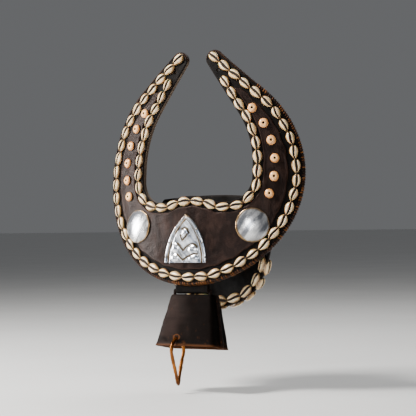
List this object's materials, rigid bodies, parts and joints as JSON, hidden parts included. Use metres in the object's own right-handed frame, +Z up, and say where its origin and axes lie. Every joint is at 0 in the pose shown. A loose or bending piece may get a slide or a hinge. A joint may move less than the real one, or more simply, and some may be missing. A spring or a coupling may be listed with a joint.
{
  "type": "animal neck collar",
  "caption": "Crescent leather neck collar for a draught animal, edged with cowrie shells, with bone studs, silver discs, a pointed plaque, a rear apron and a hanging iron bell.",
  "frame": {"origin": "middle of the neck opening on the collar's front face", "axes": "+X across the collar, +Y back to the animal, +Z up along the horns"},
  "size_m": [0.3624, 0.1409, 0.5427],
  "materials": {
    "shell": "smooth shell",
    "bone": "polished bone",
    "silver": "burnished silver alloy",
    "nail_metal": "dull",
    "black_leather": "worn",
    "brown_leather": "waxed",
    "raw_hide": "raw",
    "binding_leather": "laced",
    "thong": "plain",
    "loop_iron": "worn, rust brown",
    "bell_iron": "forged, dark"
  },
  "bodies": {
    "collar": {"collar_core": "raw_hide", "face_leather": "black_leather", "center_panel": "brown_leather", "back_lining": "raw_hide", "rim_binding": "binding_leather", "outer_cowries_left": "shell", "outer_cowries_right": "shell", "inner_cowries_left": "shell", "inner_cowries_right": "shell", "bone_studs_left": "bone", "bone_studs_right": "bone", "stud_thongs": "thong", "silver_disc_left": "silver", "silver_disc_right": "silver", "disc_shanks": "nail_metal", "plaque_panel": "silver", "plaque_border": "silver", "plaque_nails": "nail_metal", "chest_apron": "black_leather", "apron_thongs": "thong", "apron_cowries_front": "shell", "apron_cowries_back": "shell", "hanger_strap": "black_leather", "hanger_rivets": "bell_iron"},
    "bell": {"bell_body": "bell_iron", "bell_rivets": "bell_iron", "bell_staple": "bell_iron", "clapper_eye": "bell_iron"},
    "clapper": {"clapper": "bell_iron"},
    "loop": {"bell_loop": "loop_iron"}
  },
  "joints": [
    {"name": "bell_swing", "type": "hinge", "parent": "collar", "child": "bell", "pos_m": [0, -0.0056, -0.21308], "axis": [1, 0, 0], "range_deg": [-25, 20]},
    {"name": "clapper_swing", "type": "hinge", "parent": "bell", "child": "clapper", "pos_m": [0, 0.00109, -0.23223], "axis": [0, 0.9848, -0.1736], "range_deg": [-34, 34]},
    {"name": "loop_swing", "type": "hinge", "parent": "bell", "child": "loop", "pos_m": [-0.014, -0.03364, -0.28582], "axis": [0, 1, 0], "range_deg": [-60, 60]}
  ]
}
